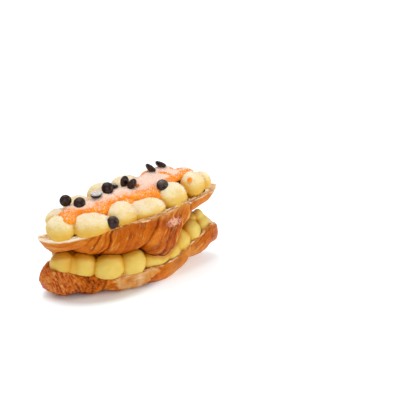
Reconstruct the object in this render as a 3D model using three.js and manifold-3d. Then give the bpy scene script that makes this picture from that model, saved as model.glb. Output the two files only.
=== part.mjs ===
// A cream-filled croissant, split level and stacked: the lower half lies cut side up, piped custard
// cream covers it, the upper half lies crust down in that cream, and a second layer of piped cream
// carries fruit jam and chocolate drops. Millimetres, +Z up, +X along the croissant, origin in the
// middle of the footprint on the surface that the pastry stands on.
import * as THREE from "three";
import { mergeVertices } from "three/addons/utils/BufferGeometryUtils.js";
import Module from "manifold-3d";

const wasm = await Module();
wasm.setup();

// Driving dimensions
const BASE_LEFT = -81; // tips of the lower half
const BASE_RIGHT = 81.5;
const BASE_RIM = 15; // height of its rim at the middle
const BASE_RISE = { left: 11, right: 18.5 }; // how much higher its ends curl
const BASE_NOSE = { left: 9, right: 16 }; // how far the rim rounds down again at the tips
const LID_LEFT = -79; // tips of the upper half
const LID_RIGHT = 80;
const LID_RIM = 60; // height of its rim at the middle
const LID_SLOPE = 10; // how much lower its left end lies
const LID_CURL = { left: 1.5, right: 2.5 }; // how far its tips turn up
const HALF_WIDTH = 31; // centre line to rim at the widest roll
const WIDEST_AT = 4; // where along X that is
const WALL = 2.2; // breadth of the rim between crust and sunken cut face
const BELLY = 3.5; // how far a full roll swells out past the rim
const FULL_ROLL = 30; // depth of a roll that swells that far
const GAP = 0.3; // clearance kept between neighbouring pieces
const DROP_RADIUS = 4.8;
const DROP_HEIGHT = 4.3;
const DROP_FOOT = 0.72; // share of the drop's radius that its flat foot takes
const DROP_WAIST = 0.3; // share of the drop's height at which it is widest

// Fineness of the faceted surfaces
const HALF_DETAIL = { crust: 13, cut: 5, along: 40 };
const BED_DETAIL = { crust: 5, cut: 5, along: 10 };
const DOLLOP_DETAIL = { around: 12, along: 7 };
const MOUND_DETAIL = { around: 9, along: 5 };
const DROP_DETAIL = { around: 11, along: 5 };

// Small helpers
const { smoothstep, degToRad, clamp } = THREE.MathUtils;

function spindle(x, left, right, fullness) {
  // 1 at the widest place and 0 at the tips, with soft shoulders between
  const shoulder = 0.75;
  const [end, power] = x < WIDEST_AT ? [left, fullness[0]] : [right, fullness[1]];
  const reach = clamp((x - WIDEST_AT) / (end - WIDEST_AT), 0, 1);
  return (1 - reach ** power) ** shoulder;
}

function roundedEnd(x, from, to) {
  // 0 up to one place, then a quarter round that falls to 1 at the other
  const t = clamp((x - from) / (to - from), 0, 1);
  return 1 - Math.sqrt(1 - t * t);
}

function outermost(rolls, x) {
  // Depth of the crust where the dough's rolls lie side by side as barrels
  let depth = 0;
  for (const roll of rolls) {
    const u = (x - roll.x) / roll.reach;
    if (Math.abs(u) < 1) depth = Math.max(depth, roll.depth * Math.sqrt(1 - u * u));
  }
  return depth;
}

function closed(geometry) {
  geometry.deleteAttribute("normal");
  geometry.deleteAttribute("uv");
  return mergeVertices(geometry, 1e-4);
}

function grown(geometry, by) {
  const made = geometry.clone();
  made.computeVertexNormals();
  const { position, normal } = made.attributes;
  const point = new THREE.Vector3();
  const outward = new THREE.Vector3();
  for (let i = 0; i < position.count; i++) {
    point.fromBufferAttribute(position, i);
    outward.fromBufferAttribute(normal, i);
    point.addScaledVector(outward, by);
    position.setXYZ(i, point.x, point.y, point.z);
  }
  made.deleteAttribute("normal");
  return made;
}

function solid(geometry) {
  return new wasm.Manifold(
    new wasm.Mesh({
      numProp: 3,
      vertProperties: new Float32Array(geometry.attributes.position.array),
      triVerts: new Uint32Array(geometry.index.array),
    }),
  );
}

function joined(geometries) {
  return geometries.map(solid).reduce((whole, next) => whole.add(next));
}

function largest(body) {
  // The main body of a cut, without loose scraps
  return body.decompose().reduce((a, b) => (a.volume() > b.volume() ? a : b));
}

function geometryOf(body) {
  const mesh = body.getMesh();
  const geometry = new THREE.BufferGeometry();
  geometry.setAttribute("position", new THREE.BufferAttribute(mesh.vertProperties, 3));
  geometry.setIndex(new THREE.BufferAttribute(mesh.triVerts, 1));
  geometry.computeVertexNormals();
  return geometry;
}

// A loft along X. A sphere's rings become sections: shape(point, x, across, under) sets a point, where
// across runs from 1 at the far rim to -1 at the near rim, and under is above 0 on the crust side and
// below 0 on the cut side. The crust side gets its own share of the points around, and the rings
// stand closer together towards the tips.
function loft(left, right, detail, shape) {
  const crowding = 0.45;
  const around = detail.crust + detail.cut;
  const geometry = closed(new THREE.SphereGeometry(1, around, detail.along));
  const { position } = geometry.attributes;
  const point = new THREE.Vector3();
  for (let i = 0; i < position.count; i++) {
    point.fromBufferAttribute(position, i);
    const along = Math.acos(clamp(point.y, -1, 1)) / Math.PI;
    const ease = (1 - Math.cos(Math.PI * along)) / 2;
    const x = left + (right - left) * (crowding * ease + (1 - crowding) * along);
    const onTip = Math.hypot(point.x, point.z) < 1e-6;
    const turn = (Math.atan2(point.z, -point.x) / (2 * Math.PI) + 1) % 1;
    const step = turn * around;
    const halfTurns = step < detail.crust ? step / detail.crust : 1 + (step - detail.crust) / detail.cut;
    const across = onTip ? 0 : Math.cos(Math.PI * halfTurns);
    const under = onTip ? 0 : Math.sin(Math.PI * halfTurns);
    shape(point, x, across, under);
    position.setXYZ(i, point.x, point.y, point.z);
  }
  return geometry;
}

// One half of the croissant: a rim, a crust of rolls that hangs from it, and a cut face sunk between.
// lean lowers the far rim, blunt is the half width at which the rolls begin to thin out to the tips,
// squareness goes from 1 for a round section down to a boxy one, and twist slants the rolls.
function croissantHalf({ left, right, rolls, rim, lean, plan, bend, blunt, squareness, dip, twist }) {
  return loft(left, right, HALF_DETAIL, (point, x, across, under) => {
    const half = plan(x);
    const edge = rim(x) - lean(x) * Math.max(0, across);
    if (under >= 0) {
      const power = squareness(x);
      const thinned = Math.min(1, (half / blunt) ** 0.7);
      const depth = thinned * outermost(rolls, x + twist(x) * across * (1 - under));
      const swell = BELLY * Math.sin(Math.PI * Math.min(1, under * 1.2)) * Math.min(1, depth / FULL_ROLL);
      const side = Math.sign(across) * (Math.abs(across) ** power * half + swell);
      point.set(x, bend(x) + side, Math.max(0, edge - depth * under ** power));
    } else {
      const inner = Math.max(0, half - WALL * Math.min(1, -under * 4));
      const sunk = Math.min(dip, half / 4) * (1 - Math.abs(across) ** 6);
      point.set(x, bend(x) + across * inner, edge - sunk);
    }
  });
}

// The upper half: a thin pointed left end, a fat middle roll and a slim tail
const lidPlan = (x) => HALF_WIDTH * spindle(x, LID_LEFT, LID_RIGHT, [2.2, 1.45]);
const lidBend = (x) => -3 * smoothstep(-x, 40, -LID_LEFT) - 6 * smoothstep(x, 30, LID_RIGHT);
const lidRim = (x) =>
  LID_RIM -
  LID_SLOPE * (1 - smoothstep(x, -80, 5)) +
  LID_CURL.right * smoothstep(x, 30, LID_RIGHT) +
  LID_CURL.left * smoothstep(-x, 68, -LID_LEFT);
const LID_ROLLS = [
  { x: -58, reach: 25, depth: 14 },
  { x: -38, reach: 20, depth: 25 },
  { x: -16, reach: 26, depth: 35 },
  { x: 17.3, reach: 22.5, depth: 49.5 },
  { x: 33, reach: 15, depth: 27 },
  { x: 46, reach: 36, depth: 13 },
];
const lidShape = croissantHalf({
  left: LID_LEFT,
  right: LID_RIGHT,
  rolls: LID_ROLLS,
  rim: lidRim,
  lean: (x) => 6.5 * (smoothstep(-x, 48, 64) - smoothstep(-x, 64, -LID_LEFT)),
  plan: lidPlan,
  bend: lidBend,
  blunt: 10,
  squareness: (x) => 0.72 - 0.14 * smoothstep(x, -5, 12) * (1 - smoothstep(x, 28, 45)),
  dip: 4,
  twist: (x) => 13 * (1 - smoothstep(x, 0, 30)),
});

// The lower half: a shallow shell with rounded ends that curl up off the surface
const basePlan = (x) => HALF_WIDTH * spindle(x, BASE_LEFT, BASE_RIGHT, [1.9, 1.7]);
const baseBend = (x) => -6 * smoothstep(-x, 40, -BASE_LEFT) - 6 * smoothstep(x, 30, BASE_RIGHT);
const baseRim = (x) =>
  BASE_RIM +
  BASE_RISE.left * smoothstep(-x, 25, 78) +
  BASE_RISE.right * smoothstep(x, 16, 78) -
  BASE_NOSE.left * roundedEnd(-x, 70, -BASE_LEFT) -
  BASE_NOSE.right * roundedEnd(x, 68, BASE_RIGHT);
const BASE_ROLLS = [
  { x: -64, reach: 17.5, depth: 24 },
  { x: -47, reach: 18, depth: 22 },
  { x: -14, reach: 34, depth: 19 },
  { x: 26, reach: 36, depth: 23 },
  { x: 60, reach: 25, depth: 25 },
];
const baseShape = croissantHalf({
  left: BASE_LEFT,
  right: BASE_RIGHT,
  rolls: BASE_ROLLS,
  rim: baseRim,
  lean: (x) => 3.5 * smoothstep(-x, 45, 75),
  plan: basePlan,
  bend: baseBend,
  blunt: 5,
  squareness: (x) => 0.6 + 0.4 * smoothstep(x, 0, 35) - 0.2 * smoothstep(x, 40, 70),
  dip: 5,
  twist: (x) => 8 * smoothstep(x, -30, 30),
});

// Piped cream: soft ellipsoids set down side by side over a bed of cream. Each row states a centre,
// then half sizes along X, Y and Z, and then a turn about Z in degrees where there is one.
function dollop([x, y, z, alongX, alongY, alongZ, yaw = 0], by = 0) {
  const geometry = closed(new THREE.SphereGeometry(1, DOLLOP_DETAIL.around, DOLLOP_DETAIL.along));
  geometry.rotateX(Math.PI / 2);
  geometry.scale(alongX + by, alongY + by, alongZ + by);
  geometry.rotateZ(degToRad(yaw));
  geometry.translate(x, y, z);
  return geometry;
}

// The bed under the dollops takes a share of the croissant's plan, between two heights
function creamBed({ left, right, share, plan, bend, low, high }) {
  return loft(left, right, BED_DETAIL, (point, x, across, under) => {
    const t = (2 * (x - left)) / (right - left) - 1;
    const half = plan(x) * share * Math.sqrt(Math.max(0, 1 - t ** 4));
    const level = under >= 0 ? low(x) : high(x);
    const middle = (low(x) + high(x)) / 2;
    point.set(x, bend(x) + across * half, middle + (level - middle) * Math.abs(under) ** 0.5);
  });
}

const FILLING_NEAR = [
  [-62, -9, 26.5, 10, 9.5, 11],
  [-54.5, -12.5, 24, 8, 9, 10],
  [-46.5, -15, 24, 11.5, 11, 12],
  [-28, -23, 22, 14, 11, 11.5],
  [-9.5, -24, 21.5, 12.5, 11, 11.5],
  [12, -21, 19, 17, 9.5, 8.5],
  [27, -18.5, 21, 13, 9.5, 9.5],
  [38, -16.5, 25.5, 11, 9.5, 10.5],
  [50.5, -14, 29.5, 9, 9, 10],
  [64, -8, 30.5, 7.5, 7.5, 9],
  [62, -7, 37, 5, 5, 7.5],
];
const FILLING_FAR = [
  [-52, 8, 28, 11, 10, 11],
  [-40, 15, 26, 12.5, 11, 11.5],
  [-22, 20, 22.5, 14, 11, 11.5],
  [-1, 22, 21, 14, 11, 11],
  [20, 21, 19, 16, 11, 10],
  [40, 15, 25, 12, 10, 11.5],
  [55, 6, 30, 10.5, 9.5, 10.5],
];
const fillingBed = creamBed({
  left: -64,
  right: 64,
  share: 0.82,
  plan: basePlan,
  bend: baseBend,
  low: (x) => baseRim(x) - 8,
  high: (x) => baseRim(x) + 16,
});
const filling = largest(
  joined([fillingBed, ...[...FILLING_NEAR, ...FILLING_FAR].map((row) => dollop(row))])
    .subtract(solid(grown(baseShape, GAP)))
    .subtract(solid(grown(lidShape, GAP))),
);

const TOPPING_NEAR = [
  [-61.7, -9.5, 57.8, 12, 11.5, 10.5],
  [-39, -18, 58, 16.5, 11, 10.5, -14],
  [-14, -19, 60.5, 13.5, 12, 12],
  [6.5, -19, 61.5, 17.5, 12, 9.5, -6],
  [33, -15, 65, 13, 12, 12],
  [54.5, -11, 70, 10.8, 10.5, 11],
  [65, -8, 69, 8, 8, 8.5],
];
const TOPPING_FAR = [
  [-57.5, 5, 58.5, 10, 9.5, 9.5],
  [-35.5, 15, 58, 13.5, 12, 11],
  [-12.5, 18, 62, 13.5, 12, 11.5],
  [10, 19, 64, 14, 12, 11.5],
  [34, 14, 65.5, 13, 12, 11.5],
  [53, 8, 66.5, 11, 10, 10.5],
];
const toppingBed = creamBed({
  left: -67,
  right: 71,
  share: 0.8,
  plan: lidPlan,
  bend: lidBend,
  low: (x) => lidRim(x) - 8,
  high: (x) => lidRim(x) + 4,
});

// Jam: a spread of flattened mounds down the middle, with lobes that run out between the dollops.
// The rows read like those of the cream.
const JAM_MOUNDS = [
  [-55, -12.5, 62.5, 5, 4.5, 5],
  [-57, -13.5, 65, 6, 5, 4],
  [-55.5, -8, 65, 7.5, 8, 5.5],
  [-47, -2, 66, 9, 9, 5],
  [-37, -4, 67.5, 11, 10, 4.5],
  [-26, -11, 66.5, 9.5, 8, 4.5],
  [-20, -2, 69.5, 13, 11, 4.5],
  [-3, -2, 71, 13, 11, 4.5],
  [-4, -12, 67.5, 7, 6, 4],
  [6, -10, 71.5, 11, 8, 4],
  [16, -9, 71, 11, 9, 4.5],
  [18, -6, 72.5, 11, 8, 4.2],
  [22.5, -13.5, 67.5, 6.5, 6, 5.5],
  [21, 2, 74.5, 12, 12, 4],
  [28, 8, 76, 10, 9, 4],
  [38, 2, 75.5, 13, 12, 4.5],
  [39, 10, 76.5, 10, 9, 4],
  [51, -1, 76, 10, 9, 4.5],
];
function mound([x, y, z, alongX, alongY, alongZ]) {
  const geometry = closed(new THREE.SphereGeometry(1, MOUND_DETAIL.around, MOUND_DETAIL.along));
  geometry.rotateX(Math.PI / 2);
  geometry.scale(alongX, alongY, alongZ);
  geometry.translate(x, y, z);
  return geometry;
}

// Chocolate drops: a flat foot and a low dome, each turned as it fell. The dome faces the stated way
// in plan, in degrees from +X, and leans over from upright by the stated tilt.
const DROPS = [
  { x: -51, y: 4, z: 73.7, facing: -115, tilt: 75 },
  { x: -42.9, y: -4, z: 73.3, facing: -125, tilt: 50 },
  { x: -26.6, y: -1, z: 75, facing: -30, tilt: 172 },
  { x: -15.4, y: 2, z: 77.5, facing: -120, tilt: 60 },
  { x: -8.5, y: 7, z: 76, facing: 60, tilt: 40 },
  { x: 1.5, y: 4, z: 78.3, facing: -65, tilt: 85 },
  { x: 4.5, y: -3, z: 78, facing: -69, tilt: 105 },
  { x: 27.4, y: 10, z: 82, facing: -169, tilt: 132 },
  { x: 37.9, y: 12, z: 82.1, facing: -157, tilt: 143 },
  { x: 25.5, y: -14, z: 77.5, facing: -115, tilt: 40 },
  { x: -26, y: -28, z: 62.5, facing: -115, tilt: 70 },
];
function dropShape({ x, y, z, facing, tilt }) {
  const footTurn = -Math.acos(DROP_FOOT);
  const waist = DROP_WAIST * DROP_HEIGHT;
  const profile = [new THREE.Vector2(0, 0)];
  for (let i = 0; i < DROP_DETAIL.along; i++) {
    const turn = footTurn + (Math.PI / 2 - footTurn) * (i / DROP_DETAIL.along);
    const swell = turn < 0 ? waist / -Math.sin(footTurn) : DROP_HEIGHT - waist;
    profile.push(new THREE.Vector2(DROP_RADIUS * Math.cos(turn), waist + swell * Math.sin(turn)));
  }
  profile.push(new THREE.Vector2(0, DROP_HEIGHT));
  const geometry = closed(new THREE.LatheGeometry(profile, DROP_DETAIL.around));
  geometry.translate(0, -DROP_HEIGHT / 2, 0);
  geometry.rotateX(Math.PI / 2);
  geometry.rotateY(degToRad(tilt));
  geometry.rotateZ(degToRad(facing));
  geometry.translate(x, y, z);
  return geometry;
}
const drops = DROPS.map(dropShape);
const dropRoom = joined(drops.map((drop) => grown(drop, GAP)));

const toppingRows = [...TOPPING_NEAR, ...TOPPING_FAR];
const topping = largest(
  joined([toppingBed, ...toppingRows.map((row) => dollop(row))])
    .subtract(solid(grown(lidShape, GAP)))
    .subtract(dropRoom),
);
const toppingRoom = joined([grown(toppingBed, GAP), ...toppingRows.map((row) => dollop(row, GAP))]);
const jam = largest(joined(JAM_MOUNDS.map(mound)).subtract(toppingRoom).subtract(dropRoom));

// Finishes
const crustFinish = new THREE.MeshStandardMaterial({ color: 0xc87428, roughness: 0.5, metalness: 0 });
const creamFinish = new THREE.MeshStandardMaterial({ color: 0xecd58f, roughness: 0.6, metalness: 0 });
const jamFinish = new THREE.MeshStandardMaterial({ color: 0xf58a20, roughness: 0.3, metalness: 0 });
const chocolateFinish = new THREE.MeshStandardMaterial({ color: 0x2a140c, roughness: 0.35, metalness: 0 });

// The pastry
const pastry = new THREE.Group();
function place(name, geometry, finish) {
  const mesh = new THREE.Mesh(geometry, finish);
  mesh.name = name;
  pastry.add(mesh);
}
place("croissant_base", baseShape, crustFinish);
place("cream_filling", geometryOf(filling), creamFinish);
place("croissant_lid", lidShape, crustFinish);
place("cream_topping", geometryOf(topping), creamFinish);
place("jam", geometryOf(jam), jamFinish);
drops.forEach((drop, i) => place(`chocolate_drop_${i + 1}`, drop, chocolateFinish));

export default pastry;
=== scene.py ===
# %% [markdown]
# # A croissant stacked with custard cream
#
# The real pastry is a croissant split level. The lower half lies cut side up, balls of custard cream are
# piped onto it, the upper half lies crust down in that cream, and a second layer of dollops carries orange
# jam, chocolate drops and icing sugar. The plain solids are loaded as a fixed frame, and each one is then
# replaced by a piece of the same form with the surface that the baker would see.

import itertools
import math
from functools import partial
from types import SimpleNamespace

import bpy
import numpy as np
from mathutils import Matrix, Vector
from mathutils.bvhtree import BVHTree


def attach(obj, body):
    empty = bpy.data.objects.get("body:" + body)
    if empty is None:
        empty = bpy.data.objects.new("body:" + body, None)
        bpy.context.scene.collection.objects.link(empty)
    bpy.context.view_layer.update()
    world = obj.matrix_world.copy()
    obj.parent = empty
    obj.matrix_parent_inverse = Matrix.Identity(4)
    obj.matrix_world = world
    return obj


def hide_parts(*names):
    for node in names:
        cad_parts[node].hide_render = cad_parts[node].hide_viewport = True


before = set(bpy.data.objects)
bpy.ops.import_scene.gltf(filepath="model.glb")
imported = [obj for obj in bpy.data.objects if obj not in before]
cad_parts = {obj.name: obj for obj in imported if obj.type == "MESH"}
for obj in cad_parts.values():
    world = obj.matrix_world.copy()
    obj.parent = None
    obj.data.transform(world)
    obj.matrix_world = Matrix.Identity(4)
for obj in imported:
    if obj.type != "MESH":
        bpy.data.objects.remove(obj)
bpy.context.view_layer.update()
MM = 0.001  # the pastry's own sizes below are in millimetres

# %% [markdown]
# ## Camera
#
# A camera can be aimed by eye, but then nothing lines up with the photograph. Here its place is worked out
# from where the frame's origin appears in the picture, from the height and turn of the view, and from the
# focal length in pixels.

# %% Camera
PHOTO_SIDE = 400  # pixels
FOCAL_PIXELS = 1342
ORIGIN_PIXEL = (128, 271)
VIEW_HEIGHT = math.radians(25)
VIEW_TURN = math.radians(-30)
VIEW_DEPTH = 1.1  # metres along the optical axis
SENSOR = 36  # millimetres

level = math.cos(VIEW_HEIGHT)
back = Vector((math.sin(VIEW_TURN) * level, -math.cos(VIEW_TURN) * level, math.sin(VIEW_HEIGHT)))
right = Vector((math.cos(VIEW_TURN), math.sin(VIEW_TURN), 0))
up = back.cross(right)
aside = (ORIGIN_PIXEL[0] - PHOTO_SIDE / 2) / FOCAL_PIXELS * VIEW_DEPTH
above = (PHOTO_SIDE / 2 - ORIGIN_PIXEL[1]) / FOCAL_PIXELS * VIEW_DEPTH

bpy.ops.object.camera_add()
camera = bpy.context.object
camera.matrix_world = Matrix((right, up, back)).transposed().to_4x4()
camera.location = VIEW_DEPTH * back - aside * right - above * up
camera.data.sensor_width = SENSOR
camera.data.lens = SENSOR * FOCAL_PIXELS / PHOTO_SIDE
bpy.context.scene.camera = camera
print("camera at", [round(v, 3) for v in camera.location], "lens", round(camera.data.lens, 1))

# %% [markdown]
# ## Floor and light
#
# Food is often shot on white paper under large soft boxes, so that shadows stay faint. A white world gives
# the light from all sides, one large lamp hangs above the pastry, two in front brighten the cream between
# the halves, and a small one behind gives the glints on jam and chocolate. The standard view transform
# keeps the custard's yellow and the paper's white as they are.

# %% Floor and light
FLOOR_SIDE = 8.0
WORLD_STRENGTH = 0.44
LAMPS = [  # place, power in watts, side in metres
    (Vector((-0.1, 0.3, 1.4)), 12.5, 1.5),
    (Vector((1.0, -0.9, 0.55)), 7.0, 0.9),
    (Vector((-0.9, -1.1, 0.7)), 3.4, 0.9),
    (Vector((-0.05, 0.5, 1.2)), 1.5, 0.2),
]
LIT_POINT = Vector((0, 0, 0.04))

scene = bpy.context.scene
scene.view_settings.view_transform = "Standard"
world = bpy.data.worlds.new("white_studio")
world.use_nodes = True
world.node_tree.nodes["Background"].inputs["Color"].default_value = (1, 1, 1, 1)
world.node_tree.nodes["Background"].inputs["Strength"].default_value = WORLD_STRENGTH
scene.world = world

for lamp_place, power, side in LAMPS:
    bpy.ops.object.light_add(type="AREA", location=lamp_place)
    lamp = bpy.context.object
    lamp.rotation_euler = (lamp_place - LIT_POINT).to_track_quat("Z", "Y").to_euler()
    lamp.data.energy = power
    lamp.data.size = side

bpy.ops.object.select_all(action="DESELECT")
bpy.ops.mesh.primitive_plane_add(size=FLOOR_SIDE)
floor = bpy.context.object
floor.name = "floor"
print("floor", FLOOR_SIDE, "m,", len(LAMPS), "lamps")

# %% [markdown]
# ## Shader sums
#
# A material is a net of nodes, and a sum of masks soon takes dozens of them. The small class below wraps
# one socket, so that masks are added and multiplied as Python values, and each operator adds its Math node.

# %% Shader sums
class Strand:
    """One output socket in a material's node tree."""

    def __init__(self, tree, socket=None):
        self.tree = tree
        self.socket = socket

    def node(self, kind, settings=None, values=None, outlet=0):
        """Adds a node, sets it up, fills its sockets and returns one of its outputs."""
        made = self.tree.nodes.new(kind)
        for name, value in (settings or {}).items():
            if name == "stops":
                self.set_stops(made.color_ramp, value)
            else:
                setattr(made, name, value)
        for name, value in (values or {}).items():
            if isinstance(value, Strand):
                self.tree.links.new(value.socket, made.inputs[name])
            else:
                made.inputs[name].default_value = value
        return Strand(self.tree, made.outputs[outlet])

    @staticmethod
    def set_stops(ramp, stops):
        while len(ramp.elements) < len(stops):
            ramp.elements.new(1.0)
        for element, (place, shade) in zip(ramp.elements, stops):
            element.position = place
            element.color = shade

    def math(self, operation, first, second):
        return self.node("ShaderNodeMath", {"operation": operation}, {0: first, 1: second})

    def __add__(self, other):
        return self.math("ADD", self, other)

    def __radd__(self, other):
        return self.math("ADD", other, self)

    def __sub__(self, other):
        return self.math("SUBTRACT", self, other)

    def __rsub__(self, other):
        return self.math("SUBTRACT", other, self)

    def __mul__(self, other):
        return self.math("MULTIPLY", self, other)

    def __rmul__(self, other):
        return self.math("MULTIPLY", other, self)

    def between(self, low, high):
        """0 below low, 1 above high and a soft step between."""
        values = {"Value": self, "From Min": low, "From Max": high}
        return self.node("ShaderNodeMapRange", {"interpolation_type": "SMOOTHSTEP"}, values)

    def vector(self, operation, other=(0, 0, 0), outlet=0):
        """A vector sum with another vector."""
        return self.node("ShaderNodeVectorMath", {"operation": operation}, {0: self, 1: other}, outlet)

    def stretched(self, factors):
        """A vector multiplied along each axis."""
        return self.vector("MULTIPLY", factors)

    def noise(self, size, detail=2.0, roughness=0.5):
        """Noise from 0 to 1 over this vector, with lumps of the given size."""
        values = {"Vector": self, "Scale": 1 / size, "Detail": detail, "Roughness": roughness}
        return self.node("ShaderNodeTexNoise", None, values)

    def shards(self, sizes):
        """A random number from 0 to 1 for each of the ragged plates that this vector is split into."""
        scaled = self.stretched(tuple(1 / size for size in sizes))
        values = {"Vector": scaled, "Scale": 2.5, "Detail": 3}
        shifted = scaled.vector("ADD", scaled.node("ShaderNodeTexNoise", None, values, "Color"))
        plates = shifted.node("ShaderNodeTexVoronoi", None, {"Vector": shifted, "Scale": 1.0}, "Color")
        return plates * 1.0  # a Math node makes one number of a plate's random colour

    def mixed(self, plain, other):
        """The first colour where this mask is 0 and the second where it is 1."""
        settings = {"data_type": "RGBA", "clamp_factor": True}
        return self.node("ShaderNodeMix", settings, {0: self, 6: plain, 7: other}, 2)

    def stored(self, name, outlet="Fac"):
        """What the piece's points carry under a name: a number, or a vector from the outlet Vector."""
        return self.node("ShaderNodeAttribute", {"attribute_name": name}, None, outlet)

    def place(self):
        """Where each point of the surface lies in the pastry's own frame."""
        return self.node("ShaderNodeTexCoord", outlet="Object")

    def upward(self):
        """1 where the surface faces up, 0 where it is upright and -1 where it faces down."""
        normal = self.node("ShaderNodeNewGeometry", outlet="Normal")
        return self.node("ShaderNodeSeparateXYZ", None, {"Vector": normal}, "Z")


print("a strand can be", [name for name in vars(Strand) if not name.startswith("_")])

# %% Colours and finishes
def srgb(red, green, blue):
    """A colour as read off a screen, from 0 to 255, as the linear colour that shaders take."""
    linear = []
    for channel in (red / 255, green / 255, blue / 255):
        linear.append(channel / 12.92 if channel <= 0.04045 else ((channel + 0.055) / 1.055) ** 2.4)
    return (*linear, 1.0)


def new_finish(name, even):
    """A material with one Principled shader, its even sockets filled, and a strand to start a net from."""
    material = bpy.data.materials.new(name)
    material.use_nodes = True
    shader = material.node_tree.nodes["Principled BSDF"]
    for socket, value in even.items():
        shader.inputs[socket].default_value = value
    return material, shader, Strand(material.node_tree)


def feed(shader, strands):
    """Links strands to the sockets that change over the surface."""
    for socket, strand in strands.items():
        strand.tree.links.new(strand.socket, shader.inputs[socket])


def bump(height, strength, distance):
    """A Bump node's normal; the distance is in millimetres."""
    values = {"Height": height, "Strength": strength, "Distance": distance * MM}
    return height.node("ShaderNodeBump", None, values)


print("middle grey on a screen is", round(srgb(128, 128, 128)[0], 3), "in linear light")

# %% [markdown]
# ## Paper
#
# Lit paper beside a bright pastry comes out grey. More lamps would bleach the cream, so the paper glows a
# little by itself. That glow would also wash out the shadow at the pastry's foot, so a soft oval spot under
# its left part doesn't glow.

# %% Paper finish
PAPER_GLOW = 0.31
PAPER_SHADES = (srgb(232, 245, 251), srgb(235, 248, 254))
PAPER_IN_SHADE = srgb(238, 238, 236)
SPOT_MIDDLE = (-0.027, -0.011, 0)
SPOT_SPREAD = (0.045, 0.028)  # half sizes along X and Y
SPOT_EDGE = (0.85, 1.2)  # where the soft edge starts and ends, in half sizes
BLACK = (0, 0, 0, 1)
WHITE = (1, 1, 1, 1)

even = {"Roughness": 0.6, "Emission Strength": PAPER_GLOW}
paper_finish, paper_shader, strand = new_finish("white_paper", even)
place = strand.place()
paper = place.noise(0.3).mixed(*PAPER_SHADES)
off_spot = place.vector("SUBTRACT", SPOT_MIDDLE).stretched((1 / SPOT_SPREAD[0], 1 / SPOT_SPREAD[1], 0))
glowing = off_spot.vector("LENGTH", outlet="Value").between(*SPOT_EDGE)
glow = glowing.mixed(BLACK, WHITE)
feed(paper_shader, {"Base Color": glowing.mixed(PAPER_IN_SHADE, paper), "Emission Color": glow})
floor.data.materials.append(paper_finish)
print("paper finish with", len(paper_finish.node_tree.nodes), "nodes")

# %% [markdown]
# ## Tools for uneven surfaces
#
# Baked dough and piped cream are never smooth. Sculpting by hand would do it, but a script has to give the
# same lumps each time, so a seeded lattice of random heights is smoothed into noise, and points are moved
# along their own normals by it.

# %% Tools for uneven surfaces
NOISE_CELLS = 32


def smooth(x, low, high):
    """0 below low, 1 above high and a soft step between."""
    t = np.clip((x - low) / (high - low), 0, 1)
    return t * t * (3 - 2 * t)


def hump(x, middle, width):
    """A bell: 1 at its middle, and soft ends."""
    return np.exp(-(((x - middle) / width) ** 2))


def window(x, rise, fall):
    """1 on a stretch and 0 outside it, with soft ends."""
    return smooth(x, *rise) * (1 - smooth(x, *fall))


def soft_noise(points, size, seed):
    """Smooth random heights from -1 to 1, in lumps of the given size."""
    heights = np.random.default_rng(seed).uniform(-1, 1, (NOISE_CELLS,) * 3)
    scaled = points / size
    cell = np.floor(scaled).astype(int)
    part = scaled - cell
    part = part * part * (3 - 2 * part)
    total = np.zeros(len(scaled))
    for corner in itertools.product((0, 1), repeat=3):
        share = np.prod(np.where(corner, part, 1 - part), axis=1)
        x, y, z = ((cell + corner) % NOISE_CELLS).T
        total += share * heights[x, y, z]
    return total


def rough(points, layers):
    """Noises laid over one another, each with its height, the size of its lumps and its seed."""
    return sum(height * soft_noise(points, size, seed) for height, size, seed in layers)


def seeded(rows, seed):
    """Rows of height and size, with seeds counted up from the first."""
    return [(*row, seed + number) for number, row in enumerate(rows)]


print("noise over", NOISE_CELLS**3, "random heights")

# %% Points, masks and pieces
def points_of(piece):
    """A piece's points in millimetres."""
    flat = np.empty(len(piece.data.vertices) * 3)
    piece.data.vertices.foreach_get("co", flat)
    return flat.reshape(-1, 3) / MM


def normals_of(piece):
    flat = np.empty(len(piece.data.vertices) * 3)
    piece.data.vertex_normals.foreach_get("vector", flat)
    return flat.reshape(-1, 3)


def set_points(piece, points):
    piece.data.vertices.foreach_set("co", (points * MM).ravel())
    piece.data.update()


def store(piece, **masks):
    """Stores numbers or vectors of all points under their names, for the finish to read."""
    for name, values in masks.items():
        kind, field = ("FLOAT_VECTOR", "vector") if values.ndim > 1 else ("FLOAT", "value")
        mask = piece.data.attributes.new(name, kind, "POINT")
        mask.data.foreach_set(field, values.astype(np.float32).ravel())


def apply_modifiers(piece):
    for modifier in list(piece.modifiers):
        bpy.ops.object.modifier_apply(modifier=modifier.name)


def turn_faces_out():
    """Makes the faces of the active piece point outwards."""
    bpy.ops.object.mode_set(mode="EDIT")
    bpy.ops.mesh.select_all(action="SELECT")
    bpy.ops.mesh.normals_make_consistent(inside=False)
    bpy.ops.object.mode_set(mode="OBJECT")


def hollows(piece, rounds):
    """How far each point lies below its smoothed surroundings, in millimetres."""
    edges = np.empty(len(piece.data.edges) * 2, int)
    piece.data.edges.foreach_get("vertices", edges)
    ends = edges.reshape(-1, 2)
    start = np.concatenate((ends[:, 0], ends[:, 1]))
    finish = np.concatenate((ends[:, 1], ends[:, 0]))
    points = points_of(piece)
    count = np.maximum(np.bincount(start, minlength=len(points)), 1)
    eased = points.copy()
    for _ in range(rounds):
        sums = [np.bincount(start, eased[finish, axis], len(points)) for axis in range(3)]
        eased = (eased + np.stack(sums, 1) / count[:, None]) / 2
    return np.einsum("ij,ij->i", eased - points, normals_of(piece))


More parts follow.
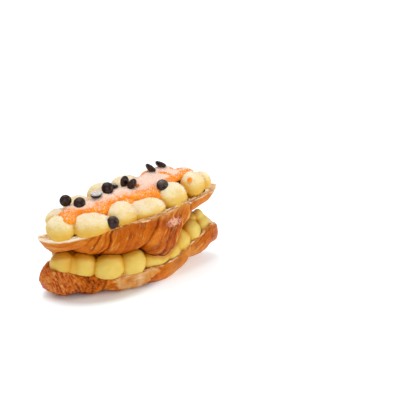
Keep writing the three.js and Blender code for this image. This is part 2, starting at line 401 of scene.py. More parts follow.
def finish_piece(piece, name, slot, material, *nodes):
    """Names a piece, dresses it, ties it to the frame and hides the solids that it stands for."""
    piece.name = name
    piece.data.materials.clear()
    piece.data.materials.append(material)
    bpy.ops.object.select_all(action="DESELECT")
    piece.select_set(True)
    bpy.context.view_layer.objects.active = piece
    bpy.ops.object.shade_smooth()
    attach(piece, "root")
    if nodes:
        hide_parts(*nodes)
    triangles = sum(len(face.vertices) - 2 for face in piece.data.polygons)
    print(name, "has", triangles, "triangles")


print("points of the floor in mm:", points_of(floor).round().tolist())

# %% [markdown]
# ## The two halves of the croissant
#
# A croissant is a triangle of layered dough, rolled up, so its crust is a row of barrels with the widest
# in the middle. A half could be carved from a block, but its sections are easy to say in a formula: a rim,
# a crust of rolls that hangs from it and a sunken cut face. So a sphere is added, and its rings become
# those sections, closer together at the tips and at the rim where the relief is finest.

# %% Form of the halves
HALF_WIDTH = 31
WIDEST_AT = 4
WALL = 2.2
BELLY = 3.5
FULL_ROLL = 30  # depth from which a roll swells fully
LID_ENDS = (-79, 80)
BASE_ENDS = (-81, 81.5)


def spindle(x, left, right, left_power, right_power):
    """1 at the widest place and 0 at the tips."""
    end = np.where(x < WIDEST_AT, left, right)
    power = np.where(x < WIDEST_AT, left_power, right_power)
    reach = np.clip((x - WIDEST_AT) / (end - WIDEST_AT), 0, 1)
    return (1 - reach**power) ** 0.75


def rounded_end(x, start, end):
    t = np.clip((x - start) / (end - start), 0, 1)
    return 1 - np.sqrt(1 - t * t)


def outermost(rolls, x):
    """Depth of the crust where the rolls lie side by side as barrels."""
    depth = np.zeros_like(x)
    for middle, reach, full in rolls:
        share = np.clip(1 - ((x - middle) / reach) ** 2, 0, 1)
        depth = np.maximum(depth, full * np.sqrt(share))
    return depth


# Rolls are given by their middle along X, reach and depth, and heights are over the surface below.
lid = SimpleNamespace(
    ends=LID_ENDS,
    rolls=[(-58, 25, 14), (-38, 20, 25), (-16, 26, 35), (17.3, 22.5, 49.5), (33, 15, 27), (46, 36, 13)],
    plan=lambda x: HALF_WIDTH * spindle(x, *LID_ENDS, 2.2, 1.45),
    bend=lambda x: -3 * smooth(-x, 40, 79) - 6 * smooth(x, 30, 80),
    rim=lambda x: 60 - 10 * (1 - smooth(x, -80, 5)) + 2.5 * smooth(x, 30, 80) + 1.5 * smooth(-x, 68, 79),
    lean=lambda x: 6.5 * (smooth(-x, 48, 64) - smooth(-x, 64, 79)),
    blunt=10,
    squareness=lambda x: 0.72 - 0.14 * window(x, (-5, 12), (28, 45)),
    dip=4,
    twist=lambda x: 13 * (1 - smooth(x, 0, 30)),
)
base = SimpleNamespace(
    ends=BASE_ENDS,
    rolls=[(-64, 17.5, 24), (-47, 18, 22), (-14, 34, 19), (26, 36, 23), (60, 25, 25)],
    plan=lambda x: HALF_WIDTH * spindle(x, *BASE_ENDS, 1.9, 1.7),
    bend=lambda x: -6 * smooth(-x, 40, 81) - 6 * smooth(x, 30, 81.5),
    rim=lambda x: (
        15
        + 11 * smooth(-x, 25, 78)
        + 18.5 * smooth(x, 16, 78)
        - 9 * rounded_end(-x, 70, 81)
        - 16 * rounded_end(x, 68, 81.5)
    ),
    lean=lambda x: 3.5 * smooth(-x, 45, 75),
    blunt=5,
    squareness=lambda x: 0.6 + 0.4 * smooth(x, 0, 35) - 0.2 * smooth(x, 40, 70),
    dip=5,
    twist=lambda x: 8 * smooth(x, -30, 30),
)
print("height of the lid's rim at its ends, in mm:", [round(float(lid.rim(end)), 1) for end in LID_ENDS])

# %% Sections from a sphere
CRUST_POINTS = 150  # round one section of crust
CUT_POINTS = 40  # across its cut face
RINGS = 460
RING_CROWDING = 0.45
RIM_CROWDING = 0.8


def sphere_sections(half):
    """A sphere, and where each of its points belongs on the half: along, across and under its rim."""
    around = CRUST_POINTS + CUT_POINTS
    bpy.ops.object.select_all(action="DESELECT")
    bpy.ops.mesh.primitive_uv_sphere_add(segments=around, ring_count=RINGS, radius=1)
    piece = bpy.context.object
    ball = points_of(piece) * MM
    along = np.arccos(np.clip(ball[:, 2], -1, 1)) / math.pi
    ease = (1 - np.cos(math.pi * along)) / 2
    left, right = half.ends
    x = left + (right - left) * (RING_CROWDING * ease + (1 - RING_CROWDING) * along)
    turn = np.arctan2(ball[:, 1], -ball[:, 0]) / (2 * math.pi) % 1
    step = np.rint(turn * around) % around
    crusted = step <= CRUST_POINTS
    crust_turn = step / CRUST_POINTS
    crust_turn = crust_turn - RIM_CROWDING * np.sin(2 * math.pi * crust_turn) / (2 * math.pi)
    half_turns = np.where(crusted, crust_turn, 1 + (step - CRUST_POINTS) / CUT_POINTS)
    tip = np.hypot(ball[:, 0], ball[:, 1]) < 1e-5
    across = np.where(tip, 0, np.cos(math.pi * half_turns))
    under = np.where(tip, 0, np.sin(math.pi * half_turns))
    return piece, x, across, np.where(crusted, np.maximum(under, 0), under), crusted


def half_form(half, x, across, under, crusted):
    """The plain form of one half: its points, how deep each lies under the rim and its share of the fall."""
    width = half.plan(x)
    edge = half.rim(x) - half.lean(x) * np.maximum(0, across)
    hang = np.maximum(under, 0)
    power = half.squareness(x)
    thinned = np.minimum(1, (width / half.blunt) ** 0.7)
    depth = thinned * outermost(half.rolls, x + half.twist(x) * across * (1 - hang))
    swell = BELLY * np.sin(math.pi * np.minimum(1, hang * 1.2)) * np.minimum(1, depth / FULL_ROLL)
    crust_y = np.sign(across) * (np.abs(across) ** power * width + swell)
    crust_z = np.maximum(0, edge - depth * hang**power)
    inner = np.maximum(0, width - WALL * np.minimum(1, -under * 4))
    sunk = np.minimum(half.dip, width / 4) * (1 - np.abs(across) ** 6)
    y = half.bend(x) + np.where(crusted, crust_y, across * inner)
    z = np.where(crusted, crust_z, edge - sunk)
    return np.stack((x, y, z), 1), edge - z, hang**power


def shape_half(half):
    """Adds a half in its plain form: its piece, and for each point what the relief is worked out from."""
    piece, x, across, under, crusted = sphere_sections(half)
    form, depth, fall = half_form(half, x, across, under, crusted)
    set_points(piece, form)
    turn_faces_out()
    return piece, form, x, across, depth, fall, crusted


print("points on each half:", (CRUST_POINTS + CUT_POINTS) * (RINGS - 1) + 2)

# %% [markdown]
# ## Layers in the crust
#
# Where a layer of dough ends, the crust has a lip with a dark seam before it. The seam's dark is partly
# darker bake and partly painted shade in the recess, and the crest behind a lip gets a painted highlight.
# Such lips step up towards the middle of the croissant, because the dough was rolled up from its wide end.
# Each lip below is a line across the crust, slanted from rim to underside, that raises one side of it. Thin
# streaks between the lips follow the same slant, and the torn rim is jagged.

# %% Layers in the crust
LIP_EDGE = (-0.5, 0.8)  # across which a lip rises
# The dark line before a lip is partly darker bake and partly painted shade in its recess.
SEAM = (-0.6, 0.8)  # middle and width of the dark line before a lip
# The bright stretch behind a lip is a painted highlight on its crest.
CREST_HIGHLIGHT = (2.6, 2.4)  # and of the bright stretch behind it
SEAM_DEPTH = 0.35
TEARS = [(0.6, 5), (0.5, 2.2), (0.35, 0.9)]  # heights and sizes of the torn rim's ups and downs
TEAR_REACH = 1.6
SIDES_APART = 40  # in the noise, so that the two rims tear differently
CRUMB_LUMPS = (0.35, 2.0)  # height and size on the cut face
THIN_TIP = 9  # width under which the relief fades


def leaning(x, fall, across, slant):
    """Place along X, undone by the lean of the rolls: a line that leans reads the same all the way down."""
    return x + slant * np.clip(3 * across, -1, 1) * (1 - fall) ** 1.2


def lip(offset, height, run):
    """Relief, seam and crest highlight of one lip, which rises towards +X of its line, or -X where run is
    negative.
    """
    inward = offset * np.sign(run)
    rise = smooth(inward, *LIP_EDGE) * np.exp(-np.maximum(inward, 0) / abs(run))
    seam = hump(inward, *SEAM)
    share = min(1, height)
    return height * (rise - SEAM_DEPTH * seam), share * seam, share * hump(inward, *CREST_HIGHLIGHT)


def streaks(flow, size, length, seed):
    """Thin ridges that run along the flow: sharp crests with soft hollows between."""
    stretched = flow / np.array((size, length, 1))
    return 1 - 2 * np.abs(rough(stretched, seeded([(1, 1), (0.5, 0.5)], seed)))


def ragged_rim(points, depth, seed, height):
    """Torn ups and downs that fade out below the rim."""
    line = np.stack((points[:, 0], np.sign(points[:, 1]) * SIDES_APART, 0 * depth), 1)
    return height * rough(line, seeded(TEARS, seed)) * np.exp(-np.maximum(depth, 0) / TEAR_REACH)


def patch(x, depth, across, side, middle, size, wobble, inner=0.82):
    """A ragged spot on one side of the crust: 1 inside, 0 outside."""
    reach = np.hypot((x - middle[0]) / size[0], (depth - middle[1]) / size[1]) + wobble
    return (1 - smooth(reach, inner, 1.0)) * smooth(side * across, 0.05, 0.3)


def move_out(piece, points, amount):
    """Moves points along their normals, but never through the surface that the pastry stands on."""
    moved = points + normals_of(piece) * amount[:, None]
    moved[:, 2] = np.maximum(moved[:, 2], 0)
    set_points(piece, moved)


def raise_crust(piece, half, form, depth, crusted, relief, crumb_seed, rim_seed, tear):
    """Moves a half's crust out by its relief, roughens its cut face and tears its rim."""
    thin_tips = np.minimum(1, half.plan(form[:, 0]) / THIN_TIP)
    crumb = rough(form, [(*CRUMB_LUMPS, crumb_seed)])
    move_out(piece, form, np.where(crusted, relief * smooth(depth, 0, 1.5), crumb) * thin_tips)
    torn = points_of(piece)
    torn[:, 2] += ragged_rim(form, depth, rim_seed, tear) * thin_tips
    set_points(piece, torn)


print("a lip of 1 mm, 1 mm inside its line:", np.round(lip(np.array([1.0]), 1, 10)[0], 2))

# %% [markdown]
# ## Upper half
#
# The upper half lies crust down: a thin prow on the left, a fat roll in the middle, and a slim tail. Its
# rolls lean, so a seam that starts at the rim runs down and to the left. Low folds and pleats fill the rolls
# and fan out from a blistered spot with loose skin on the fat roll. On the prow and the tail the dough was
# drawn out, so there the streaks run lengthwise. All of it is summed up as one height for each point.

# %% Upper half
LID_SEAMS = [  # place at the bottom, lean, height, run
    (-34.5, 9, 1.5, 18),
    (-1.5, 16, 1.1, 20),
    (43, 5, 1.0, -14),
]
LID_FOLDS = [  # place at the bottom, lean, height
    (-53, 13, 0.6),
    (-46, 11, 0.75),
    (-40, 10, 0.5),
    (-28, 10, 0.25),
    (-9, 13, 0.35),
    (2, 26, 0.4),
]
LID_BLISTER = (-1, (27, 10.4), (8.5, 4.2))  # side, place along and depth under the rim, half sizes
LID_ROLLED = ((-58, -38), (46, 60))  # where the rolls rise and end along X
LID_WOBBLE = [(1.3, 11, 1), (0.7, 4, 2)]  # height, size of the lumps, seed
LID_LUMPS = [(0.7, 10, 4), (0.2, 3.2, 5), (0.08, 1.3, 18)]
FOLD_RUN = 5
PLEAT = 6.5
RIM_LIFTS = [(-76, -46, 1.2), (32, 72, 1.6)]  # from, to, height
LIFT_EASE = 8


def layered(x, fall, across, wobble, seams, folds):
    """The relief, the dark lines and the painted crest highlights of all seams and folds on one half."""
    relief, dark, bright = np.zeros((3, len(x)))
    rows = [(*seam, 1.0, 0.8) for seam in seams]
    rows += [(*fold, FOLD_RUN, 1.4, 0.5) for fold in folds]
    for at, lean, height, run, unsteady, darkness in rows:
        rise, seam, crest = lip(leaning(x, fall, across, lean) - at + unsteady * wobble, height, run)
        relief += rise
        dark = np.maximum(dark, darkness * seam)
        bright = np.maximum(bright, crest)
    return relief, dark, bright


lid_piece, form, x, across, depth, fall, crusted = shape_half(lid)
lumps = partial(soft_noise, form)
wobble = rough(form, LID_WOBBLE)
relief, seams, crest_highlights = layered(x, fall, across, wobble, LID_SEAMS, LID_FOLDS)
rolled = window(x, *LID_ROLLED)
relief *= rolled

slanted = leaning(x, fall, across, 11 + 15 * smooth(x, 0, 22)) + 1.5 * lumps(12, 3)
flow = np.stack((slanted, depth, 0 * x), 1)
grain = np.stack((1.6 * depth + 2 * lumps(10, 15), x, 0 * x), 1)
ridges = rolled * streaks(flow, 2.1, 16, 11) + (1 - rolled) * streaks(grain, 2.0, 22, 16)
ridges *= smooth(lumps(13, 12), -0.6, 0.5)
fan = smooth(x, 2, 12) * rolled
pleats = np.cos(2 * math.pi * (slanted / PLEAT + 0.6 * lumps(9, 17)))
pleats *= (1 - 0.7 * smooth(x, 26, 38)) * (0.6 + 0.4 * lumps(9, 20))
blister = patch(x, depth, across, *LID_BLISTER, 0.3 * lumps(3, 6))
relief += 0.36 * fan * pleats + 0.06 * ridges + rough(form, LID_LUMPS)
relief += blister * (0.3 + 0.6 * lumps(1.6, 7))
raise_crust(lid_piece, lid, form, depth, crusted, relief, crumb_seed=8, rim_seed=21, tear=1.1)

raised = points_of(lid_piece)
for start, end, height in RIM_LIFTS:
    lifted = window(x, (start, start + LIFT_EASE), (end - LIFT_EASE, end)) * smooth(np.abs(across), 0.4, 0.8)
    raised[:, 2] += height * lifted * np.exp(-np.maximum(depth, 0) / 3)
set_points(lid_piece, raised)
print("lid relief from", round(relief.min(), 2), "to", round(relief.max(), 2), "mm")

# %% [markdown]
# ## Browning of the upper half
#
# The crust is paler along torn edges and where the dough was drawn out. Its hollows are darkened as painted
# shade, and the crests behind its lips and the fat roll's right flank are lightened as painted highlights.
# It could be painted onto the mesh by hand. Here each point gets a number for how well it is toasted, which
# also carries that painted shade and light, and one for how much pale inner dough it shows, which also
# carries the flank's painted highlight, because sums of masks come out the same on each run.

# %% Browning of the upper half
LID_MOTTLE = [(0.16, 15, 13), (0.1, 5, 14)]  # height, size, seed
CRUST_ROUNDS = 16  # of smoothing, against which a hollow in the crust is measured

prow = 1 - smooth(x, -60, -38)
tail = smooth(x, 42, 54)
roll_top = window(x, (2, 20), (46, 60))
near_rim = np.exp(-np.maximum(depth, 0) / 6)
outward = np.abs(normals_of(lid_piece)) @ np.array((0.87, 0.5, 0))
# painted highlight: the fat roll's right flank, which faces the light from the right, is lightened in toast
# and pale
lit_flank = fan * smooth(outward, 0.7, 0.92) * smooth(x, 20, 28) * (1 - smooth(depth, 42, 48))

pale_reach = 0.7 + 2.6 * (1 - smooth(x, -48, -28)) + 2.6 * smooth(x, 36, 50) + 0.8 * lumps(5, 9)
pale_reach = np.maximum(pale_reach, 0.2)
torn_pale = (1 + 0.7 * prow) * (1 - smooth(depth, 0.3 * pale_reach, pale_reach))
drawn_pale = prow * (0.1 + 0.3 * ridges) + tail * (0.2 + 0.3 * lumps(5, 23))
rim_pale = (0.3 * rolled + 0.2 * roll_top) * near_rim
lid_pale_and_highlight = np.maximum.reduce((torn_pale, drawn_pale, 0.5 * lit_flank, rim_pale))

toast = 0.5 + rough(form, LID_MOTTLE) + 0.12 * smooth(fall, 0.6, 1)
toast += 0.05 * smooth(x, -45, -25) + 0.06 * smooth(x, -15, 10) + 0.08 * rolled - 0.1 * tail
toast += 0.14 * hump(x, -19, 12) * smooth(-across, 0, 0.3)
toast += 0.16 * hump(x, 22, 7) * hump(depth, 15, 7) * smooth(-across, 0.05, 0.3)
# painted highlight: the crests behind the lips are lightened
toast -= 0.03 * ridges + 0.12 * fan * pleats + 0.22 * crest_highlights * rolled * (0.6 + 0.6 * lumps(7, 22))
toast -= 0.4 * lit_flank + 0.14 * (rolled + roll_top) * near_rim + prow * (0.2 + 0.14 * ridges)
# painted shade and highlight: hollows in the crust are darkened and its bumps lightened
toast += np.clip(0.55 * hollows(lid_piece, CRUST_ROUNDS), -0.08, 0.2)
store(
    lid_piece,
    pale=np.where(crusted, lid_pale_and_highlight, 2 - smooth(x, -72, -50)),
    seam=np.where(crusted, seams * (0.65 + 0.5 * lumps(6, 19)) * rolled, 0),
    blister=np.where(crusted, blister, 0),
    toast=toast,
    rosy=0.5 * prow,
    rolled=rolled,
    flow=flow,
    grain=grain,
)
print("lid toast from", round(toast.min(), 2), "to", round(toast.max(), 2))

# %% [markdown]
# ## Lower half
#
# The lower half is a shallow shell. Its left knob baked dark, with steep slanted ridges at the very end and
# small nodules beside them. Its near side carries a torn flap of pale inner layers, and its right end is a
# smooth shell that curls up. Ridges and nodules are noise, and the flap is a raised spot with a ragged edge.

# %% Lower half
BASE_SEAMS = [  # place at the bottom, lean, height, run
    (-52, 5, 0.7, -12),
    (-37, 6, 0.8, 14),
    (33, 13, 1.7, -16),
    (64, 5, 0.7, -10),
]
BASE_FOLDS = [(-66, 5, 0.4), (-43, 6, 0.35)]  # the same, without a run
BASE_FLAPS = [  # side, place along and depth under the rim, half sizes
    (-1, (-12, 6), (19, 14)),
    (-1, (4, 3), (10, 5)),
    (1, (20, 6), (19, 8)),
]
LAST_LAYER = BASE_SEAMS[2]
BASE_WOBBLE = [(1.3, 9, 31), (0.7, 3.5, 32)]
BUBBLES = [(0.6, 3.2, 34), (1.0, 1.7, 48)]
FLAP_EDGE = [(0.2, 4, 38), (0.14, 1.5, 39)]

base_piece, form, x, across, depth, fall, crusted = shape_half(base)
lumps = partial(soft_noise, form)
wobble = rough(form, BASE_WOBBLE)
relief, seams, crest_highlights = layered(x, fall, across, wobble, BASE_SEAMS, BASE_FOLDS)
knob = 1 - smooth(x, -46, -28)
nodules = smooth(x, -66, -52)
shell = smooth(x, 0, 25)

slanted = x + 0.35 * depth * np.sign(across) + 0.8 * lumps(7, 53)
flow = np.stack((slanted, depth, 0 * x), 1)
grain = np.stack((1.5 * depth + 0.25 * x + 1.5 * lumps(10, 47), x, 0 * x), 1)
crackle = streaks(flow, 1.7, 5.5, 33)
bubbles = rough(form, BUBBLES)
ridges = streaks(grain, 1.9, 18, 35) * smooth(lumps(11, 44), -0.5, 0.6)
fibres = streaks(grain, 1.2, 7, 40)
edge_wobble = rough(form, FLAP_EDGE)
flap = np.maximum.reduce([patch(x, depth, across, *row, edge_wobble, 0.6) for row in BASE_FLAPS])
relief += knob * ((0.65 - 0.3 * nodules) * crackle + (0.4 + 0.35 * nodules) * bubbles)
relief += (1 - knob) * (0.28 * ridges + 0.3 * (1 - 0.6 * shell) * lumps(2.6, 37))
relief += 0.5 * lumps(8, 36) + flap * (0.5 + 0.1 * fibres + 0.25 * lumps(1.8, 49))
raise_crust(base_piece, base, form, depth, crusted, relief, crumb_seed=41, rim_seed=51, tear=1.2)
print("base relief from", round(relief.min(), 2), "to", round(relief.max(), 2), "mm")

# %% [markdown]
# ## Browning of the lower half
#
# The lower half is browner than the upper one, and its left end is reddish. Pale dough shows on the flap,
# along the torn rim and at the edge of the last layer on the right. As on the upper half, hollows are
# darkened as painted shade and the crests behind the lips lightened as painted highlights. The knob is
# lighter on its ridges and nodules and darker between them, partly its own crackled bake and partly painted
# highlight and shade. The masks are summed as before.

# %% Browning of the lower half
BASE_MOTTLE = [(0.16, 13, 43), (0.1, 4, 46)]

pale_reach = 1.4 + 1.1 * lumps(4, 42)
rim_pale = smooth(x, -66, -40) * (1 - smooth(depth, 0.2 * pale_reach, pale_reach))
rim_pale *= np.clip(0.5 + lumps(4, 54), 0.1, 1)
edge_at, edge_lean = LAST_LAYER[:2]
last_layer = hump(leaning(x, fall, across, edge_lean) + wobble, edge_at - 1, 1) * (1 - smooth(depth, 8, 16))
flap_pale = flap * np.clip(0.6 + 0.04 * fibres + 0.3 * lumps(5, 45), 0, 1)
# the knob's ridges and nodules are paler, partly its own crackled bake and partly painted highlight
knob_pale_and_highlight = knob * (1 - 0.55 * nodules) * (0.15 + 0.27 * crackle + 0.16 * bubbles)
tanned = window(x, (10, 25), (52, 64))
base_pale_and_highlight = np.maximum.reduce((flap_pale, rim_pale, 0.6 * last_layer, knob_pale_and_highlight, 0.34 * tanned))

toast = 0.64 - 0.13 * knob - 0.03 * shell + rough(form, BASE_MOTTLE) + 0.22 * hump(x, -49, 9)
toast -= (1 - knob) * (0.12 * ridges + 0.1 * lumps(2.4, 55)) + 0.15 * flap + 0.13 * tanned
# the knob's ridges and nodules and the crests behind the lips are lightened as painted highlight, on the knob
# partly its own crackled bake
toast -= knob * (0.16 * crackle + 0.12 * bubbles) + 0.2 * crest_highlights * (0.6 + 0.6 * lumps(7, 52))
# painted shade and highlight: hollows in the crust are darkened and its bumps lightened
toast += np.clip(0.8 * hollows(base_piece, CRUST_ROUNDS), -0.12, 0.3) * (1 - 0.7 * knob)
store(
    base_piece,
    pale=np.where(crusted, base_pale_and_highlight, 0.2 + 0.8 * smooth(x, -66, -45)),
    seam=np.where(crusted, seams * (0.6 + 0.5 * lumps(6, 50)), 0),
    toast=toast,
    rosy=1 - smooth(x, -70, -45),
    rolled=knob,
    flow=flow * (1, 4, 1),
    grain=grain,
)
print("base toast from", round(toast.min(), 2), "to", round(toast.max(), 2))

# %% [markdown]
# ## Crust finish
#
# Egg-washed crust is a warm golden brown with a faint gloss. It is darker in the seams, partly from darker
# bake and partly as painted shade, and darker where cream touches it as painted shade. It is paler where
# inner layers show, reddish at its ends, and drawn over with streaks, plates and loose skins that follow the
# dough. Painting that by hand would not fit both halves, so the patterns run along the stored flow of the
# dough, and a ramp turns the stored toasting, with its painted shade and highlights, into baker's colours.

# %% Crust patterns
CRUST_GLOSS = {"Specular IOR Level": 0.2, "Specular Tint": srgb(255, 190, 110)}
PIT_SIZE = 1.5

crust_finish, crust_shader, strand = new_finish("egg_washed_crust", CRUST_GLOSS)
place = strand.place()
flow, grain = (strand.stored(name, "Vector") for name in ("flow", "grain"))
pale, seam, blister, toast, rolled, contact, rosy = (
    strand.stored(name) for name in ("pale", "seam", "blister", "toast", "rolled", "contact", "rosy")
)


def along_dough(on_rolls, drawn_out):
    """One pattern on the rolls and another where the dough was drawn out lengthwise."""
    return rolled * on_rolls + (1 - rolled) * drawn_out


roll_streak = flow.stretched((0.4, 0.11, 0)).noise(1, 3, 0.6)
streak = along_dough(roll_streak, grain.stretched((0.4, 0.09, 0)).noise(1, 3, 0.6))
roll_skin = flow.stretched((0.45, 0.15, 0)).noise(1, 4, 0.65)
skin = along_dough(roll_skin, grain.stretched((0.45, 0.12, 0)).noise(1, 4, 0.65))
plates = along_dough(flow.shards((4.0, 9.0, 1)), grain.shards((3.5, 11.0, 1)))
mottle = place.noise(5 * MM, 4, 0.6)
freckle = place.noise(0.9 * MM, 3, 0.6)
pits = place.node("ShaderNodeTexVoronoi", None, {"Vector": place, "Scale": 1 / (PIT_SIZE * MM)}, "Distance")
print("crust patterns with", len(crust_finish.node_tree.nodes), "nodes")

# %% Crust colours
TOAST_STOPS = [
    (0.0, srgb(240, 188, 118)),
    (0.25, srgb(221, 142, 56)),
    (0.5, srgb(201, 103, 15)),
    (0.78, srgb(166, 68, 5)),
    (1.0, srgb(104, 32, 3)),
]
CRUST_DARK = srgb(98, 32, 3)
CRUST_PALE = srgb(250, 230, 204)
CRUST_STRAW = srgb(214, 158, 86)
CRUST_ROSY = srgb(190, 82, 36)
BLISTER_RED = srgb(138, 44, 14)
BLISTER_PINK = srgb(228, 168, 138)

browned_and_shaded = toast + 0.2 * (streak - 0.5) + 0.4 * (mottle - 0.5) + 0.3 * (freckle - 0.5) + 0.05
# painted shade: the crust is darkened where cream touches it
browned_and_shaded = browned_and_shaded + 0.2 * (plates - 0.5) + 0.25 * contact
colour = strand.node("ShaderNodeValToRGB", {"stops": TOAST_STOPS}, {"Fac": browned_and_shaded})
colour = (rosy * 0.55).mixed(colour, CRUST_ROSY)
flecks = skin.between(0.5, 0.68) * mottle.between(0.35, 0.6)
colour = (flecks * 0.6).mixed(colour, CRUST_STRAW)
# CRUST_DARK lines the seams, partly darker bake and partly painted shade, and paints shade where cream
# touches the crust
colour = (seam * 0.7 + contact.between(0.45, 0.95) * 0.9).mixed(colour, CRUST_DARK)
straw = (1.5 - pale + 0.8 * (streak - 0.5)).mixed(CRUST_PALE, CRUST_STRAW)
inner_dough = (pale + 0.4 * (freckle - 0.5) + 0.3 * (mottle - 0.5)).between(0.1, 0.9)
colour = inner_dough.mixed(colour, straw)
loose_skin = (pits + 0.5 * (freckle - 0.5)).between(0.22, 0.5) * (0.35 + 0.65 * mottle.between(0.4, 0.6))
colour = (blister * 0.85).mixed(colour, BLISTER_RED)
colour = (blister * loose_skin).mixed(colour, BLISTER_PINK)
roughness = 0.34 + 0.3 * pale + 0.2 * freckle
grit = 0.25 * streak + 0.7 * freckle + 0.4 * mottle + 0.3 * plates
feed(crust_shader, {"Base Color": colour, "Roughness": roughness, "Normal": bump(grit, 0.5, 0.5)})
print("crust finish with", len(crust_finish.node_tree.nodes), "nodes")

# %% [markdown]
# ## Dress the halves
#
# A piece needs its finish, a body of the frame to ride on and the solid that it stands in for. Both halves
# take the same crust, and the masks stored on each make them look different.

# %% Dress the halves
finish_piece(lid_piece, "lid_crust", "crust", crust_finish, "croissant_lid")
finish_piece(base_piece, "base_crust", "crust", crust_finish, "croissant_base")

# %% [markdown]
# ## Flakes on the rims
#
# Where the croissant was cut, thin skins of dough stand up, hang over and curl. Each one is a small sheet
# with a torn top that grows out of the rim, leans and curls over. Modelled one by one they would take days,
# so a loop works out their points, and all of them are joined in one mesh, closed all round.

# %% Flakes on the rims
FLAKE_RUNS = [  # half, side, from, to, how many, lengths, heights, leans in radians, paleness
    (lid, -1, -74, -40, 12, (4, 9), (0.6, 1.4), (-0.3, 0.7), (0.9, 1.4)),
    (lid, -1, -40, 6, 20, (3, 7), (0.7, 1.8), (0.0, 1.3), (0.2, 0.8)),
    (lid, -1, 4, 26, 14, (4, 10), (2.0, 4.2), (0.2, 1.6), (0.5, 1.2)),
    (lid, -1, 22, 36, 10, (5, 10), (3.0, 5.5), (-0.3, 0.7), (0.5, 1.3)),
    (lid, -1, 35, 47, 18, (2, 5), (3.5, 6.5), (-0.6, 0.9), (0.6, 1.4)),
    (lid, -1, 44, 74, 22, (4, 9), (2.0, 4.5), (-0.4, 1.4), (0.4, 1.2)),
    (lid, 1, -72, 74, 56, (3, 8), (0.7, 2.6), (-0.4, 1.2), (0.3, 1.2)),
    (base, -1, -72, -40, 22, (2, 5), (0.8, 2.0), (-0.2, 1.2), (-0.4, 0.3)),
    (base, -1, -40, 30, 28, (3, 7), (0.8, 2.0), (-0.1, 1.2), (0.1, 0.8)),
    (base, -1, 30, 76, 18, (3, 7), (0.7, 1.6), (-0.3, 0.8), (0.2, 0.8)),
    (base, 1, -72, 74, 60, (2.5, 6), (0.8, 2.2), (-0.4, 1.2), (0.0, 0.9)),
]
SINGLE_FLAKES = [  # half, side, place along, length, height, lean, curl, paleness
    (lid, -1, 0.5, 10, 4.0, 1.2, 0.7, 0.9),
    (lid, -1, -6, 7, 2.6, 1.4, 0.6, 0.6),
    (lid, -1, -64, 15, 2.0, 0.1, 0.5, 1.3),
    (lid, -1, -50, 15, 2.4, 0.2, 0.8, 1.3),
    (lid, -1, 21, 12, 4.5, 0.2, 0.5, 0.9),
    (lid, 1, 12, 11, 4.0, 0.9, 0.8, 0.8),
    (base, -1, -42.5, 7, 9.0, 0.2, 5.4, 0.2),
    (base, 1, 24, 8, 9.0, 0.2, 5.0, 0.2),
]
print("flakes to grow:", sum(run[4] for run in FLAKE_RUNS) + len(SINGLE_FLAKES))

# %% Shape of a flake
FLAKE_COLUMNS = 7
FLAKE_ROWS = 5
CURL_ROWS = 20
TIGHT_CURL = 3  # radians, from which a flake rolls up and keeps its straight edge
FLAKE_THICKNESS = 0.35
UP = np.array((0.0, 0.0, 1.0))


def sheet_faces(columns, rows):
    """Faces of a closed thin sheet: a grid, a second grid behind it and the edge between them."""
    count = columns * rows
    grid = np.arange(count).reshape(rows, columns)
    faces = []
    for low, high in zip(grid[:-1], grid[1:]):
        for quad in zip(low[:-1], low[1:], high[1:], high[:-1]):
            faces.append(quad)
            faces.append(tuple(count + point for point in reversed(quad)))
    border = [*grid[0, :-1], *grid[:-1, -1], *grid[-1, :0:-1], *grid[:0:-1, 0]]
    for here, after in zip(border, border[1:] + border[:1]):
        faces.append((after, here, here + count, after + count))
    return faces


def rim_place(half, x, side):
    """A point on a half's rim, and the level way out of it."""
    def spot(at):
        height = half.rim(at) - half.lean(at) * max(0, side)
        return np.array((at, half.bend(at) + side * half.plan(at), height))

    tangent = spot(x + 0.5) - spot(x - 0.5)
    out = -side * np.array((tangent[1], -tangent[0], 0))
    return spot(x), out / np.linalg.norm(out)


def flake(root, out, length, height, lean, curl, rows, draw):
    """Points of one flake that rises from its root, leans outwards and curls over."""
    along = np.cross(UP, out)
    share = np.linspace(-0.5, 0.5, FLAKE_COLUMNS)
    rise = np.linspace(0, 1, rows)
    angle = lean + curl * rise
    step = height / (rows - 1)
    outwards = np.append(0, np.cumsum(np.sin(angle[1:]) * step))[:, None]
    upwards = np.append(0, np.cumsum(np.cos(angle[1:]) * step))[:, None]
    torn = 1 - 0.5 * draw.random(FLAKE_COLUMNS) * (curl < TIGHT_CURL)
    width = length * (1 - 0.4 * rise * draw.random())[:, None]
    arch = 0.12 * length * (4 * share**2 - 1) * draw.uniform(-1, 1)
    skin = root + along * (share * width)[..., None]
    skin = skin + out * (outwards * torn + arch * rise[:, None])[..., None] + UP * (upwards * torn)[..., None]
    facing = np.cos(angle)[:, None, None] * out - np.sin(angle)[:, None, None] * UP
    front = skin + facing * FLAKE_THICKNESS / 2
    rear = skin - facing * FLAKE_THICKNESS / 2
    return np.concatenate((front.reshape(-1, 3), rear.reshape(-1, 3)))


def join_shapes(name, shapes):
    """One mesh from many lists of points and faces."""
    points = np.concatenate([shape for shape, faces in shapes])
    start = 0
    all_faces = []
    for shape, faces in shapes:
        all_faces += [tuple(start + point for point in face) for face in faces]
        start += len(shape)
    mesh = bpy.data.meshes.new(name)
    mesh.from_pydata(points * MM, [], all_faces)
    piece = bpy.data.objects.new(name, mesh)
    scene.collection.objects.link(piece)
    return piece


short_faces = sheet_faces(FLAKE_COLUMNS, FLAKE_ROWS)
curl_faces = sheet_faces(FLAKE_COLUMNS, CURL_ROWS)
print("faces of a short flake:", len(short_faces), "and of a curled one:", len(curl_faces))

